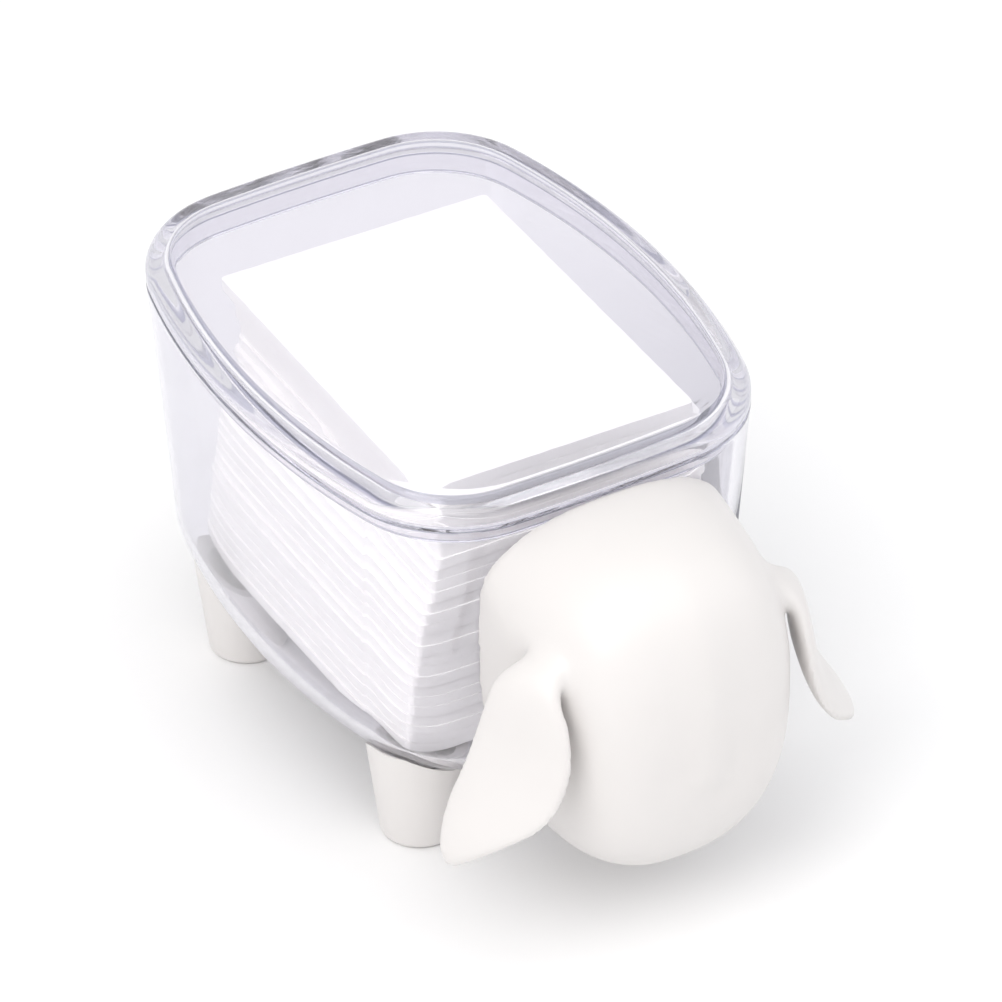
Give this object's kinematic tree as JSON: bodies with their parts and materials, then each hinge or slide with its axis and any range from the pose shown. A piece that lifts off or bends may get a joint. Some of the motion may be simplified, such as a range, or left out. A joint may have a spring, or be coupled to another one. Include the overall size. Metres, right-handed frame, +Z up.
{
  "type": "cotton swab box",
  "caption": "Clear lidded desktop box with a hollow animal head on its front wall and short legs, holding a stack of cotton pads or swabs.",
  "frame": {"origin": "bottom centre of the bounding box, at the height of the feet's flat soles", "axes": "+Z up, the animal's head looks along -Y, +X to the right when the head is nearest; the lid lifts along +Z"},
  "size_m": [0.08, 0.135, 0.078],
  "materials": {
    "clear_polystyrene": "clear moulded plastic, polished",
    "white_abs": "satin moulded plastic",
    "pressed_cotton": "soft pressed fibre"
  },
  "bodies": {
    "box_body": {"tub": "clear_polystyrene", "head_shell": "white_abs", "head_back": "white_abs", "leg_front_left": "white_abs", "leg_front_right": "white_abs", "leg_rear_left": "white_abs", "leg_rear_right": "white_abs", "cotton_pad_01": "pressed_cotton", "cotton_pad_02": "pressed_cotton", "cotton_pad_03": "pressed_cotton", "cotton_pad_04": "pressed_cotton", "cotton_pad_05": "pressed_cotton", "cotton_pad_06": "pressed_cotton", "cotton_pad_07": "pressed_cotton", "cotton_pad_08": "pressed_cotton", "cotton_pad_09": "pressed_cotton", "cotton_pad_10": "pressed_cotton", "cotton_pad_11": "pressed_cotton", "cotton_pad_12": "pressed_cotton", "cotton_pad_13": "pressed_cotton", "cotton_pad_14": "pressed_cotton", "cotton_pad_15": "pressed_cotton", "cotton_pad_16": "pressed_cotton", "cotton_pad_17": "pressed_cotton", "cotton_pad_18": "pressed_cotton", "cotton_pad_19": "pressed_cotton", "cotton_pad_20": "pressed_cotton", "cotton_pad_21": "pressed_cotton", "cotton_pad_22": "pressed_cotton", "cotton_pad_23": "pressed_cotton", "cotton_pad_24": "pressed_cotton", "cotton_pad_25": "pressed_cotton"},
    "lid": {"lid": "clear_polystyrene"}
  },
  "joints": [
    {"name": "lid_lift", "type": "slide", "parent": "box_body", "child": "lid", "axis": [0, 0, 1], "range_m": [0, 0.06]}
  ]
}
